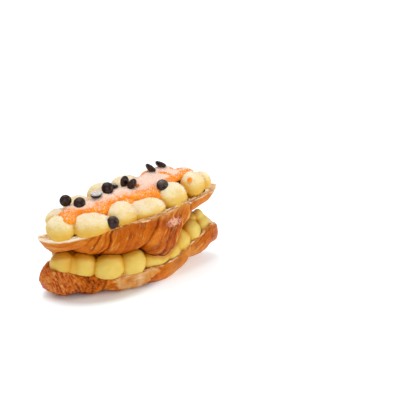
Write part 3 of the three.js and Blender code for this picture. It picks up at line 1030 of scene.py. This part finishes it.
# %% Grow the flakes
draw = np.random.default_rng(5)
flakes = []
shades = []
for half, side, start, end, count, lengths, heights, leans, paleness in FLAKE_RUNS:
    for _ in range(count):
        root, out = rim_place(half, draw.uniform(start, end), side)
        root = root - out * draw.uniform(0.2, 1.4) - UP * draw.uniform(0.3, 0.9)
        size = (draw.uniform(*lengths), draw.uniform(*heights))
        bend = (draw.uniform(*leans), draw.uniform(-0.3, 1))
        flakes.append((flake(root, out, *size, *bend, FLAKE_ROWS, draw), short_faces))
        shades.append(draw.uniform(*paleness))
for half, side, at, length, height, lean, curl, paleness in SINGLE_FLAKES:
    root, out = rim_place(half, at, side)
    rows, faces = (CURL_ROWS, curl_faces) if curl > TIGHT_CURL else (FLAKE_ROWS, short_faces)
    flakes.append((flake(root - 0.8 * out - 0.6 * UP, out, length, height, lean, curl, rows, draw), faces))
    shades.append(paleness)

flake_piece = join_shapes("rim_flakes", flakes)
shades = np.repeat(shades, [len(shape) for shape, faces in flakes])
places = points_of(flake_piece)
store(flake_piece, pale=shades, toast=0.7 - 0.4 * shades, flow=places, grain=places[:, [2, 0, 1]])
finish_piece(flake_piece, "rim_flakes", "crust", crust_finish)

# %% [markdown]
# ## Custard cream
#
# The cream is piped in balls that sink into one another. A metaball could do that, but its creases come out
# too soft. So each ball is a sphere at its size and place, a bed of cream lies under them, and a fine voxel
# remesh welds them into one skin. A little noise keeps the balls from looking turned, the creases are pinched
# deeper, and cream that hangs out past a rim is lifted, so that it rests there.

# %% Places of the cream
FILLING_BALLS = [  # x, y, z, half sizes along each and, where turned, the turn in degrees
    (-62, -9, 26.5, 10, 9.5, 11),
    (-46.5, -15, 24, 11.5, 11, 12),
    (-54.5, -12.5, 24, 8, 9, 10),
    (-28, -23, 22, 14, 11, 11.5),
    (-9.5, -24, 21.5, 12.5, 11, 11.5),
    (12, -21, 19, 17, 9.5, 8.5),
    (27, -18.5, 21, 13, 9.5, 9.5),
    (38, -16.5, 25.5, 11, 9.5, 10.5),
    (50.5, -14, 29.5, 9, 9, 10),
    (64, -8, 30.5, 7.5, 7.5, 9),
    (62, -7, 37, 5, 5, 7.5),
    (-52, 8, 28, 11, 10, 11),
    (-40, 15, 26, 12.5, 11, 11.5),
    (-22, 20, 22.5, 14, 11, 11.5),
    (-1, 22, 21, 14, 11, 11),
    (20, 21, 19, 16, 11, 10),
    (40, 15, 25, 12, 10, 11.5),
    (55, 6, 30, 10.5, 9.5, 10.5),
]
TOPPING_BALLS = [
    (-61.7, -9.5, 57.8, 12, 11.5, 10.5),
    (-39, -18, 58, 16.5, 11, 10.5, -14),
    (-14, -19, 60.5, 13.5, 12, 12),
    (6.5, -19, 61.5, 17.5, 12, 9.5, -6),
    (33, -15, 65, 13, 12, 12),
    (54.5, -11, 70, 10.8, 10.5, 11),
    (65, -8, 69, 8, 8, 8.5),
    (-57.5, 5, 58.5, 10, 9.5, 9.5),
    (-35.5, 15, 58, 13.5, 12, 11),
    (-12.5, 18, 62, 13.5, 12, 11.5),
    (10, 19, 64, 14, 12, 11.5),
    (34, 14, 65.5, 13, 12, 11.5),
    (53, 8, 66.5, 11, 10, 10.5),
]
FILLING_BED = SimpleNamespace(left=-64, right=64, share=0.82, half=base, low=-8, high=16)
TOPPING_BED = SimpleNamespace(left=-67, right=71, share=0.8, half=lid, low=-8, high=4)
print("balls of cream:", len(FILLING_BALLS), "between the halves and", len(TOPPING_BALLS), "on top")

# %% Pipe the cream
CREAM_VOXEL = 0.75
CREAM_EASING = 5
CREAM_LUMPS = [(0.9, 12), (0.25, 4), (0.07, 1.2)]  # height, size
CREASE_PINCH = 1.0  # how far creases are deepened, for each millimetre of hollow
DEEPEST_PINCH = 2
CREASE_ROUNDS = 40  # of smoothing, against which a crease is measured
VALLEY_ROUNDS = 160


def soft_ball(x, y, z, along, across, tall, turn=0):
    bpy.ops.mesh.primitive_uv_sphere_add(
        segments=48,
        ring_count=28,
        radius=MM,
        location=(x * MM, y * MM, z * MM),
        rotation=(0, 0, math.radians(turn)),
        scale=(along, across, tall),
    )
    return bpy.context.object


def cream_bed(bed):
    """A long cushion that follows the croissant's plan, between two heights from its rim."""
    bpy.ops.mesh.primitive_uv_sphere_add(segments=48, ring_count=96, radius=MM, rotation=(0, math.pi / 2, 0))
    bpy.ops.object.transform_apply(location=False, rotation=True, scale=False)
    piece = bpy.context.object
    ball = points_of(piece)
    t = np.clip(ball[:, 0], -1, 1)
    ring = np.maximum(np.hypot(ball[:, 1], ball[:, 2]), 1e-6)
    across = ball[:, 1] / ring
    rise = ball[:, 2] / ring
    x = (bed.left + bed.right) / 2 + t * (bed.right - bed.left) / 2
    width = bed.half.plan(x) * bed.share * np.sqrt(np.maximum(0, 1 - t**4))
    middle = bed.half.rim(x) + (bed.low + bed.high) / 2
    height = np.sign(rise) * np.abs(rise) ** 0.5 * (bed.high - bed.low) / 2
    height = height * np.sqrt(np.maximum(0, 1 - t**8))
    set_points(piece, np.stack((x, bed.half.bend(x) + across * width, middle + height), 1))
    return piece


def weld(parts, voxel, smoothing):
    """Joins parts and remeshes them into one even skin."""
    bpy.ops.object.select_all(action="DESELECT")
    for part in parts:
        part.select_set(True)
    bpy.context.view_layer.objects.active = parts[0]
    bpy.ops.object.join()
    bpy.ops.object.transform_apply(location=True, rotation=True, scale=True)
    piece = bpy.context.object
    remesh = piece.modifiers.new("weld", "REMESH")
    remesh.mode = "VOXEL"
    remesh.voxel_size = voxel * MM
    ease = piece.modifiers.new("ease", "SMOOTH")
    ease.factor = 0.5
    ease.iterations = smoothing
    apply_modifiers(piece)
    return piece


def rest_on_rim(points, half):
    """Lifts cream that hangs out past a half's rim, so that it rests on the rim."""
    x, y, z = points.T
    aside = y - half.bend(x)
    hanging = smooth(np.abs(aside), half.plan(x) - 2, half.plan(x) - 0.5)
    lifted = z + hanging * np.maximum(0, half.rim(x) - half.lean(x) * (aside > 0) - z)
    return np.stack((x, y, lifted), 1)


def pipe_cream(balls, bed, seed):
    bpy.ops.object.select_all(action="DESELECT")
    parts = [cream_bed(bed)] + [soft_ball(*ball) for ball in balls]
    piece = weld(parts, CREAM_VOXEL, CREAM_EASING)
    points = points_of(piece)
    swell = rough(points, seeded(CREAM_LUMPS, seed))
    swell -= CREASE_PINCH * np.clip(hollows(piece, CREASE_ROUNDS), 0, DEEPEST_PINCH)
    set_points(piece, rest_on_rim(points + normals_of(piece) * swell[:, None], bed.half))
    # the hollow and valley masks feed the painted shade in the cream's creases and broad hollows
    store(piece, hollow=hollows(piece, CREASE_ROUNDS), valley=hollows(piece, VALLEY_ROUNDS))
    return piece


filling_piece = pipe_cream(FILLING_BALLS, FILLING_BED, 61)
topping_piece = pipe_cream(TOPPING_BALLS, TOPPING_BED, 71)
print("cream points:", len(filling_piece.data.vertices), len(topping_piece.data.vertices))

# %% [markdown]
# ## Where cream and crust touch
#
# Little light gets in between cream and crust, so both look deeper in colour there. The lamps alone left
# it too bright, so each point's distance to the other piece is measured with a search tree and stored as a
# mask, which is painted as shade. The painted shade is strongest at the left end. At the right end the
# filling's mask drops below zero, which paints that cream lighter, as painted light.

# %% Where cream and crust touch
def nearness(piece, other, reach):
    """1 where a piece touches the other, fading to 0 at the given distance in millimetres."""
    gaps = np.full(len(piece.data.vertices), float(reach))
    tree = BVHTree.FromObject(other, bpy.context.evaluated_depsgraph_get())
    for number, point in enumerate(piece.data.vertices):
        gap = tree.find_nearest(point.co, reach * MM)[3]
        if gap is not None:
            gaps[number] = min(gaps[number], gap / MM)
    return 1 - smooth(gaps, 0, reach)


along = points_of(filling_piece)[:, 0]
under_lid = nearness(filling_piece, lid_piece, 8.5) ** (1 + 2.5 * smooth(along, -12, 8))
under_lid *= (1.5 - 0.5 * smooth(along, -56, -40)) * (1 - 0.7 * smooth(along, 44, 58))
under_lid = np.clip(under_lid + 0.4 * (1 - smooth(along, -60, -44)), 0, 1)
on_base = 0.4 * nearness(filling_piece, base_piece, 3)
# at the right end the mask goes below zero: painted light on the filling
store(filling_piece, contact=np.maximum(under_lid, on_base) - 0.6 * smooth(along, 50, 60))
store(topping_piece, contact=nearness(topping_piece, lid_piece, 5))
# painted shade on the crust where the cream touches it
store(lid_piece, contact=nearness(lid_piece, filling_piece, 3.2))
store(base_piece, contact=0.4 * nearness(base_piece, filling_piece, 2))
print("share of the filling close under the lid:", round(float((under_lid > 0.5).mean()), 2))

# %% [markdown]
# ## Cream finish
#
# Custard is opaque but lets a little light in, which the shader's subsurface scattering gives. Its golden
# tone varies at random, and its creases, its broad hollows and the places close to the crust are painted
# golden and deeper as painted shade; the sides and undersides of the dollops on top are painted golden as
# shade too. The open dollops on top carry a veil of icing sugar wherever they face up, in fine grains.

# %% Cream finish
CREAM_PALE = srgb(239, 213, 131)
CREAM_SOFT = srgb(228, 199, 97)
# The gold below is both a random tone and painted shade, and the deeper orange is painted shade.
CREAM_GOLD_AND_SHADE = srgb(222, 168, 38)
CREAM_SHADE = srgb(198, 122, 6)
SUGAR_WHITE = srgb(253, 250, 244)
CREAM_BODY = {
    "Roughness": 0.36,
    "Specular IOR Level": 0.35,
    "Subsurface Weight": 0.5,
    "Subsurface Radius": (1.0, 0.6, 0.2),
    "Subsurface Scale": 2.5 * MM,
}


def speckled(amount, place):
    """Icing sugar: scattered specks where there is little of it, closed cover where there is much."""
    fine = place.noise(0.45 * MM, 1)
    clumps = place.noise(1.2 * MM, 2)
    return (amount + 0.8 * (fine - 0.5) + 0.6 * (clumps - 0.5)).between(0.15, 0.9)


def cream_finish(name, pale, sugar):
    """Custard of the given pale colour, with as much icing sugar on top as the last number says."""
    material, shader, strand = new_finish(name, CREAM_BODY)
    place = strand.place()
    hollow, valley, contact = (strand.stored(mask) for mask in ("hollow", "valley", "contact"))
    cloud = place.noise(7 * MM, 3)
    pores = place.noise(0.8 * MM, 2, 0.6)
    # painted shade: broad hollows and places near the crust turn golden; the cloud adds random golden tone
    colour = (0.25 * cloud + 0.35 * valley + 0.4 * contact).between(-0.6, 0.35).mixed(pale, CREAM_GOLD_AND_SHADE)
    # painted shade: creases and places near the crust turn a deeper orange-gold
    colour = (hollow.between(0.1, 1.2) * 0.7 + contact.between(0.2, 1) * 0.75).mixed(colour, CREAM_SHADE)
    if sugar:
        facing = strand.upward()
        # painted shade: the sides and undersides of the dollops turn golden
        colour = (0.9 * (1 - facing.between(-0.3, 0.65))).mixed(colour, CREAM_GOLD_AND_SHADE)
        drift = place.noise(9 * MM, 3).between(0.3, 0.6)
        veil = speckled(facing.between(-0.2, 1.0) * (0.6 + 0.4 * drift) * sugar, place)
        colour = (0.5 * veil).mixed(colour, SUGAR_WHITE)
        feed(shader, {"Roughness": 0.45 + 0.4 * veil})
    feed(shader, {"Base Color": colour, "Normal": bump(pores + 0.5 * cloud, 0.5, 0.4)})
    return material


filling_finish = cream_finish("custard_filling", CREAM_SOFT, 0)
topping_finish = cream_finish("custard_topping", CREAM_PALE, 0.8)
finish_piece(filling_piece, "custard_filling", "cream", filling_finish, "cream_filling")
finish_piece(topping_piece, "custard_topping", "cream", topping_finish, "cream_topping")

# %% [markdown]
# ## Jam
#
# The jam was spooned along the middle and sank between the dollops. Flattened mounds are welded as the
# cream was, but eased more, because jam flows. A small splash of it landed on one dollop.

# %% Jam
JAM_MOUNDS = [  # x, y, z and half sizes along each
    (-55, -12.5, 62.5, 5, 4.5, 5),
    (-57, -13.5, 65, 6, 5, 4),
    (-55.5, -8, 65, 7.5, 8, 5.5),
    (-47, -2, 66, 9, 9, 5),
    (-37, -4, 67.5, 11, 10, 4.5),
    (-26, -11, 66.5, 9.5, 8, 4.5),
    (-20, -2, 69.5, 13, 11, 4.5),
    (-3, -2, 71, 13, 11, 4.5),
    (-4, -12, 67.5, 7, 6, 4),
    (6, -10, 71.5, 11, 8, 4),
    (16, -9, 71, 11, 9, 4.5),
    (18, -6, 72.5, 11, 8, 4.2),
    (22.5, -13.5, 67.5, 6.5, 6, 5.5),
    (21, 2, 74.5, 12, 12, 4),
    (28, 8, 76, 10, 9, 4),
    (38, 2, 75.5, 13, 12, 4.5),
    (39, 10, 76.5, 10, 9, 4),
    (51, -1, 76, 10, 9, 4.5),
]
JAM_STROKES = [  # plan points where a bare stroke starts and ends, half width
    ((18, 10), (28, 12), 1.7),
    ((33, 5), (38.5, -4), 1.5),
    ((45, 7), (50, 1), 1.8),
    ((57, -3), (33, -9.5), 3.0),
]
JAM_LUMPS = [(0.4, 5), (0.22, 2), (0.08, 0.9)]  # height, size
SPLASH_PLACE = (48.9, -17.2, 77.2)
SPLASH_SIZE = (2.4, 1.6, 2.6)


def off_stroke(places, start, end):
    """Distance of each place from the straight stroke between two points."""
    reach = end - start
    share = np.clip((places - start) @ reach / (reach @ reach), 0, 1)
    return np.linalg.norm(places - start - share[:, None] * reach, axis=1)


def jam_body(mounds, voxel, smoothing, seed):
    """Welded mounds with soft lumps, and a mask of the icing sugar that lies on them."""
    bpy.ops.object.select_all(action="DESELECT")
    piece = weld([soft_ball(*mound) for mound in mounds], voxel, smoothing)
    points = points_of(piece)
    set_points(piece, points + normals_of(piece) * rough(points, seeded(JAM_LUMPS, seed))[:, None])
    near_edge = -13.5 + 9 * smooth(-points[:, 0], 44, 54) + 2 * soft_noise(points, 6, seed + 3)
    dusted = smooth(normals_of(piece)[:, 2], 0.6, 0.95) * smooth(points[:, 1], near_edge - 4, near_edge + 11)
    ragged = 0.8 * soft_noise(points, 2.5, seed + 4)
    for start, end, width in JAM_STROKES:
        away = off_stroke(points[:, :2], np.array(start), np.array(end)) + ragged
        dusted *= smooth(away, 0.6 * width, 1.3 * width)
    store(piece, dusted=dusted)
    return piece


jam_piece = jam_body(JAM_MOUNDS, 0.6, 8, 81)
splash_piece = jam_body([(*SPLASH_PLACE, *SPLASH_SIZE)], 0.3, 2, 85)
print("jam points:", len(jam_piece.data.vertices), "splash points:", len(splash_piece.data.vertices))

# %% [markdown]
# ## Jam finish
#
# Jam is wet, so light sinks into it a little and it shines, until icing sugar covers it. The veil of sugar
# could be one even white, but it looks like paint. Here the orange shows through it, and a few strokes stay
# bare.

# %% Jam finish
JAM_ORANGE = srgb(251, 158, 24)
JAM_DEEP = srgb(246, 126, 6)
JAM_DUSTED = srgb(245, 228, 219)
JAM_BODY = {
    "Specular IOR Level": 0.3,
    "Subsurface Weight": 0.2,
    "Subsurface Radius": (1.0, 0.35, 0.08),
    "Subsurface Scale": 2 * MM,
}


def jam_finish(name, thick):
    material, shader, strand = new_finish(name, JAM_BODY)
    place = strand.place()
    pulp = place.noise(2.2 * MM, 3, 0.6)
    colour = pulp.between(0.35, 0.65).mixed(JAM_DEEP, JAM_ORANGE)
    veil = speckled(strand.stored("dusted"), place) * thick
    colour = veil.mixed(colour, JAM_DUSTED)
    feed(shader, {"Base Color": colour, "Roughness": 0.2 + 0.6 * veil, "Normal": bump(pulp, 0.4, 0.5)})
    return material


finish_piece(jam_piece, "orange_jam", "jam", jam_finish("orange_jam", 0.7), "jam")
finish_piece(splash_piece, "jam_splash", "jam", jam_finish("jam_splash", 0.2))

# %% [markdown]
# ## Chocolate drops
#
# A chocolate drop is a bead that set on a flat sheet: a flat foot and a low dome. One sphere is added, its
# lower part is cut off flat, and each copy gets its own small dents and is turned as it fell.

# %% Chocolate drops
DROP_RADIUS = 4.8
DROP_HEIGHT = 4.3
DROP_FOOT = 0.72
DROP_WAIST = 0.3
DROPS = [  # x, y, z, way the dome faces in plan, lean from upright
    (-51, 4, 73.7, -115, 75),
    (-42.9, -4, 73.3, -125, 50),
    (-26.6, -1, 75, -30, 172),
    (-15.4, 2, 77.5, -120, 60),
    (-8.5, 7, 76, 60, 40),
    (1.5, 4, 78.3, -65, 85),
    (4.5, -3, 78, -69, 105),
    (27.4, 10, 82, -169, 132),
    (37.9, 12, 82.1, -157, 143),
    (25.5, -14, 77.5, -115, 40),
    (-26, -28, 62.5, -115, 70),
]


def drop_bead():
    """A drop that stands on its foot, centred at half its height."""
    bpy.ops.object.select_all(action="DESELECT")
    bpy.ops.mesh.primitive_uv_sphere_add(segments=56, ring_count=36, radius=DROP_RADIUS * MM)
    bead = bpy.context.object
    points = points_of(bead)
    waist = DROP_WAIST * DROP_HEIGHT
    rise = points[:, 2] / DROP_RADIUS
    foot = -math.sin(math.acos(DROP_FOOT))
    upper = waist + rise * (DROP_HEIGHT - waist)
    lower = waist * (1 - np.maximum(rise, foot) / foot)
    points[:, 2] = np.where(rise > 0, upper, lower) - DROP_HEIGHT / 2
    set_points(bead, points)
    bevel = bead.modifiers.new("soft_foot", "BEVEL")
    bevel.width = 0.25 * MM
    bevel.segments = 3
    bevel.angle_limit = math.radians(30)
    apply_modifiers(bead)
    return bead


def lay_drop(bead, number, x, y, z, facing, lean):
    drop = bead.copy()
    drop.data = bead.data.copy()
    scene.collection.objects.link(drop)
    points = points_of(drop)
    dents = 0.12 * soft_noise(points, 3, 90 + number) + 0.04 * soft_noise(points, 1.1, 110 + number)
    points = points + normals_of(drop) * dents[:, None]
    turned = Matrix.Rotation(math.radians(facing), 3, "Z") @ Matrix.Rotation(math.radians(lean), 3, "Y")
    set_points(drop, points @ np.array(turned).T + np.array((x, y, z)))
    return drop


bead = drop_bead()
drop_pieces = [lay_drop(bead, number, *row) for number, row in enumerate(DROPS, 1)]
bpy.data.objects.remove(bead)
print("drops:", len(drop_pieces))

# %% [markdown]
# ## Chocolate finish
#
# Dark chocolate has a soft gloss and faint clouds of bloom. All drops share one finish, and a number stored
# on each says how much icing sugar covers what faces up on it. Most stay bare.

# %% Chocolate finish
CHOCOLATE = srgb(60, 32, 22)
CHOCOLATE_DARK = srgb(34, 17, 12)


def chocolate_finish():
    material, shader, strand = new_finish("dark_chocolate", {"Specular IOR Level": 0.28})
    place = strand.place()
    bloom = place.noise(2.5 * MM, 3)
    scuff = place.noise(0.6 * MM, 2)
    sugared = 0.5 + 0.7 * scuff.between(0.4, 0.65)
    veil = strand.upward().between(0.3, 1.0) * sugared * strand.stored("dusted")
    colour = veil.mixed(bloom.between(0.35, 0.7).mixed(CHOCOLATE_DARK, CHOCOLATE), SUGAR_WHITE)
    roughness = 0.12 + 0.08 * scuff + 0.5 * veil
    feed(shader, {"Base Color": colour, "Roughness": roughness, "Normal": bump(scuff, 0.15, 0.2)})
    return material


SUGAR_ON_DROPS = {3: 0.8, 5: 0.4, 10: 0.08, 11: 0.04}  # cover, by a drop's number
chocolate = chocolate_finish()
for number, drop in enumerate(drop_pieces, 1):
    store(drop, dusted=np.full(len(drop.data.vertices), SUGAR_ON_DROPS.get(number, 0)))
    finish_piece(drop, f"chocolate_bead_{number}", "chocolate", chocolate, f"chocolate_drop_{number}")

# %% [markdown]
# ## Icing sugar and crumbs
#
# Icing sugar clumps into grains that catch the light, and the knife left dark crumbs along the lower rim.
# Thousands of grains would be slow as objects of their own. One rough pebble of twenty faces is added, and
# a loop copies its points to random faces that look up, pressed in a little so that each grain is carried.

# %% Icing sugar and crumbs
SUGAR_DAMP = srgb(250, 238, 214)
GRAIN_SIZES = (0.13, 0.36)
WHITE_DROPS = (3, 5)
GRAINS_ON_DROP = 25
SUGARED = [(topping_piece, 5600), (jam_piece, 2200)]  # piece, how many grains
SUGARED += [(drop_pieces[number - 1], GRAINS_ON_DROP) for number in WHITE_DROPS]
FLATTENED = 0.8  # height of a grain or crumb against its width


def pebble():
    """Points and faces of a small round stone of twenty faces."""
    bpy.ops.object.select_all(action="DESELECT")
    bpy.ops.mesh.primitive_ico_sphere_add(subdivisions=1, radius=MM)
    stone = bpy.context.object
    faces = [tuple(face.vertices) for face in stone.data.polygons]
    points = points_of(stone)
    bpy.data.objects.remove(stone)
    return points, faces


def faces_up(piece):
    """Middle, normal and share of sugar of each face of a piece."""
    count = len(piece.data.polygons)
    middles = np.empty(count * 3)
    normals = np.empty(count * 3)
    areas = np.empty(count)
    piece.data.polygons.foreach_get("center", middles)
    piece.data.polygons.foreach_get("normal", normals)
    piece.data.polygons.foreach_get("area", areas)
    middles = middles.reshape(-1, 3) / MM
    normals = normals.reshape(-1, 3)
    share = areas * np.maximum(0, normals[:, 2] - 0.1) ** 2
    if piece in drop_pieces:
        # Blender numbers a new sphere's faces differently in each run, so a drop's are sorted by place.
        order = np.lexsort(middles.round(3).T)
        return middles[order], normals[order], share[order]
    return middles, normals, share


def stones_at(places, sizes, draw):
    """Rough stones of random sizes, turned at random and flattened."""
    points, faces = stone
    stones = []
    for place in places:
        turn, _ = np.linalg.qr(draw.normal(size=(3, 3)))
        uneven = points * draw.uniform(0.75, 1.25, (len(points), 1)) @ turn * np.linalg.det(turn)
        stones.append((uneven * draw.uniform(*sizes) * (1, 1, FLATTENED) + place, faces))
    return stones


def sugar_finish():
    material, shader, strand = new_finish("icing_sugar", {"Roughness": 0.7, "Specular IOR Level": 0.3})
    place = strand.place()
    colour = place.noise(3 * MM, 2).between(0.4, 0.7).mixed(SUGAR_WHITE, SUGAR_DAMP)
    feed(shader, {"Base Color": colour, "Normal": bump(place.noise(0.2 * MM), 0.4, 0.1)})
    return material


stone = pebble()
draw = np.random.default_rng(7)
grains = []
for piece, count in SUGARED:
    middles, normals, share = faces_up(piece)
    chosen = draw.choice(len(share), count, p=share / share.sum())
    places = middles[chosen] + draw.normal(0, 0.15, (count, 3)) + 0.05 * normals[chosen]
    grains += stones_at(places, GRAIN_SIZES, draw)
sugar_piece = join_shapes("icing_sugar", grains)
finish_piece(sugar_piece, "icing_sugar", None, sugar_finish())

# %% Crumbs
CRUMB_SIZES = (0.35, 0.9)
CRUMB_COUNT = 90
KNOB_RUN = (-74, -44)  # where half of the crumbs lie
RIM_RUN = (-70, 70)

crumb_places = []
for number in range(CRUMB_COUNT):
    run = KNOB_RUN if number % 2 else RIM_RUN
    half = base if number % 4 else lid
    rim, out = rim_place(half, draw.uniform(*run), -1 if number % 3 else 1)
    crumb_places.append(rim - out * draw.uniform(-0.2, 1.6) + UP * draw.uniform(-0.4, 0.3))
crumb_piece = join_shapes("crust_crumbs", stones_at(crumb_places, CRUMB_SIZES, draw))
store(crumb_piece, toast=np.repeat(draw.uniform(0.4, 1.0, CRUMB_COUNT), len(stone[0])))
finish_piece(crumb_piece, "crust_crumbs", "crust", crust_finish)

# %% [markdown]
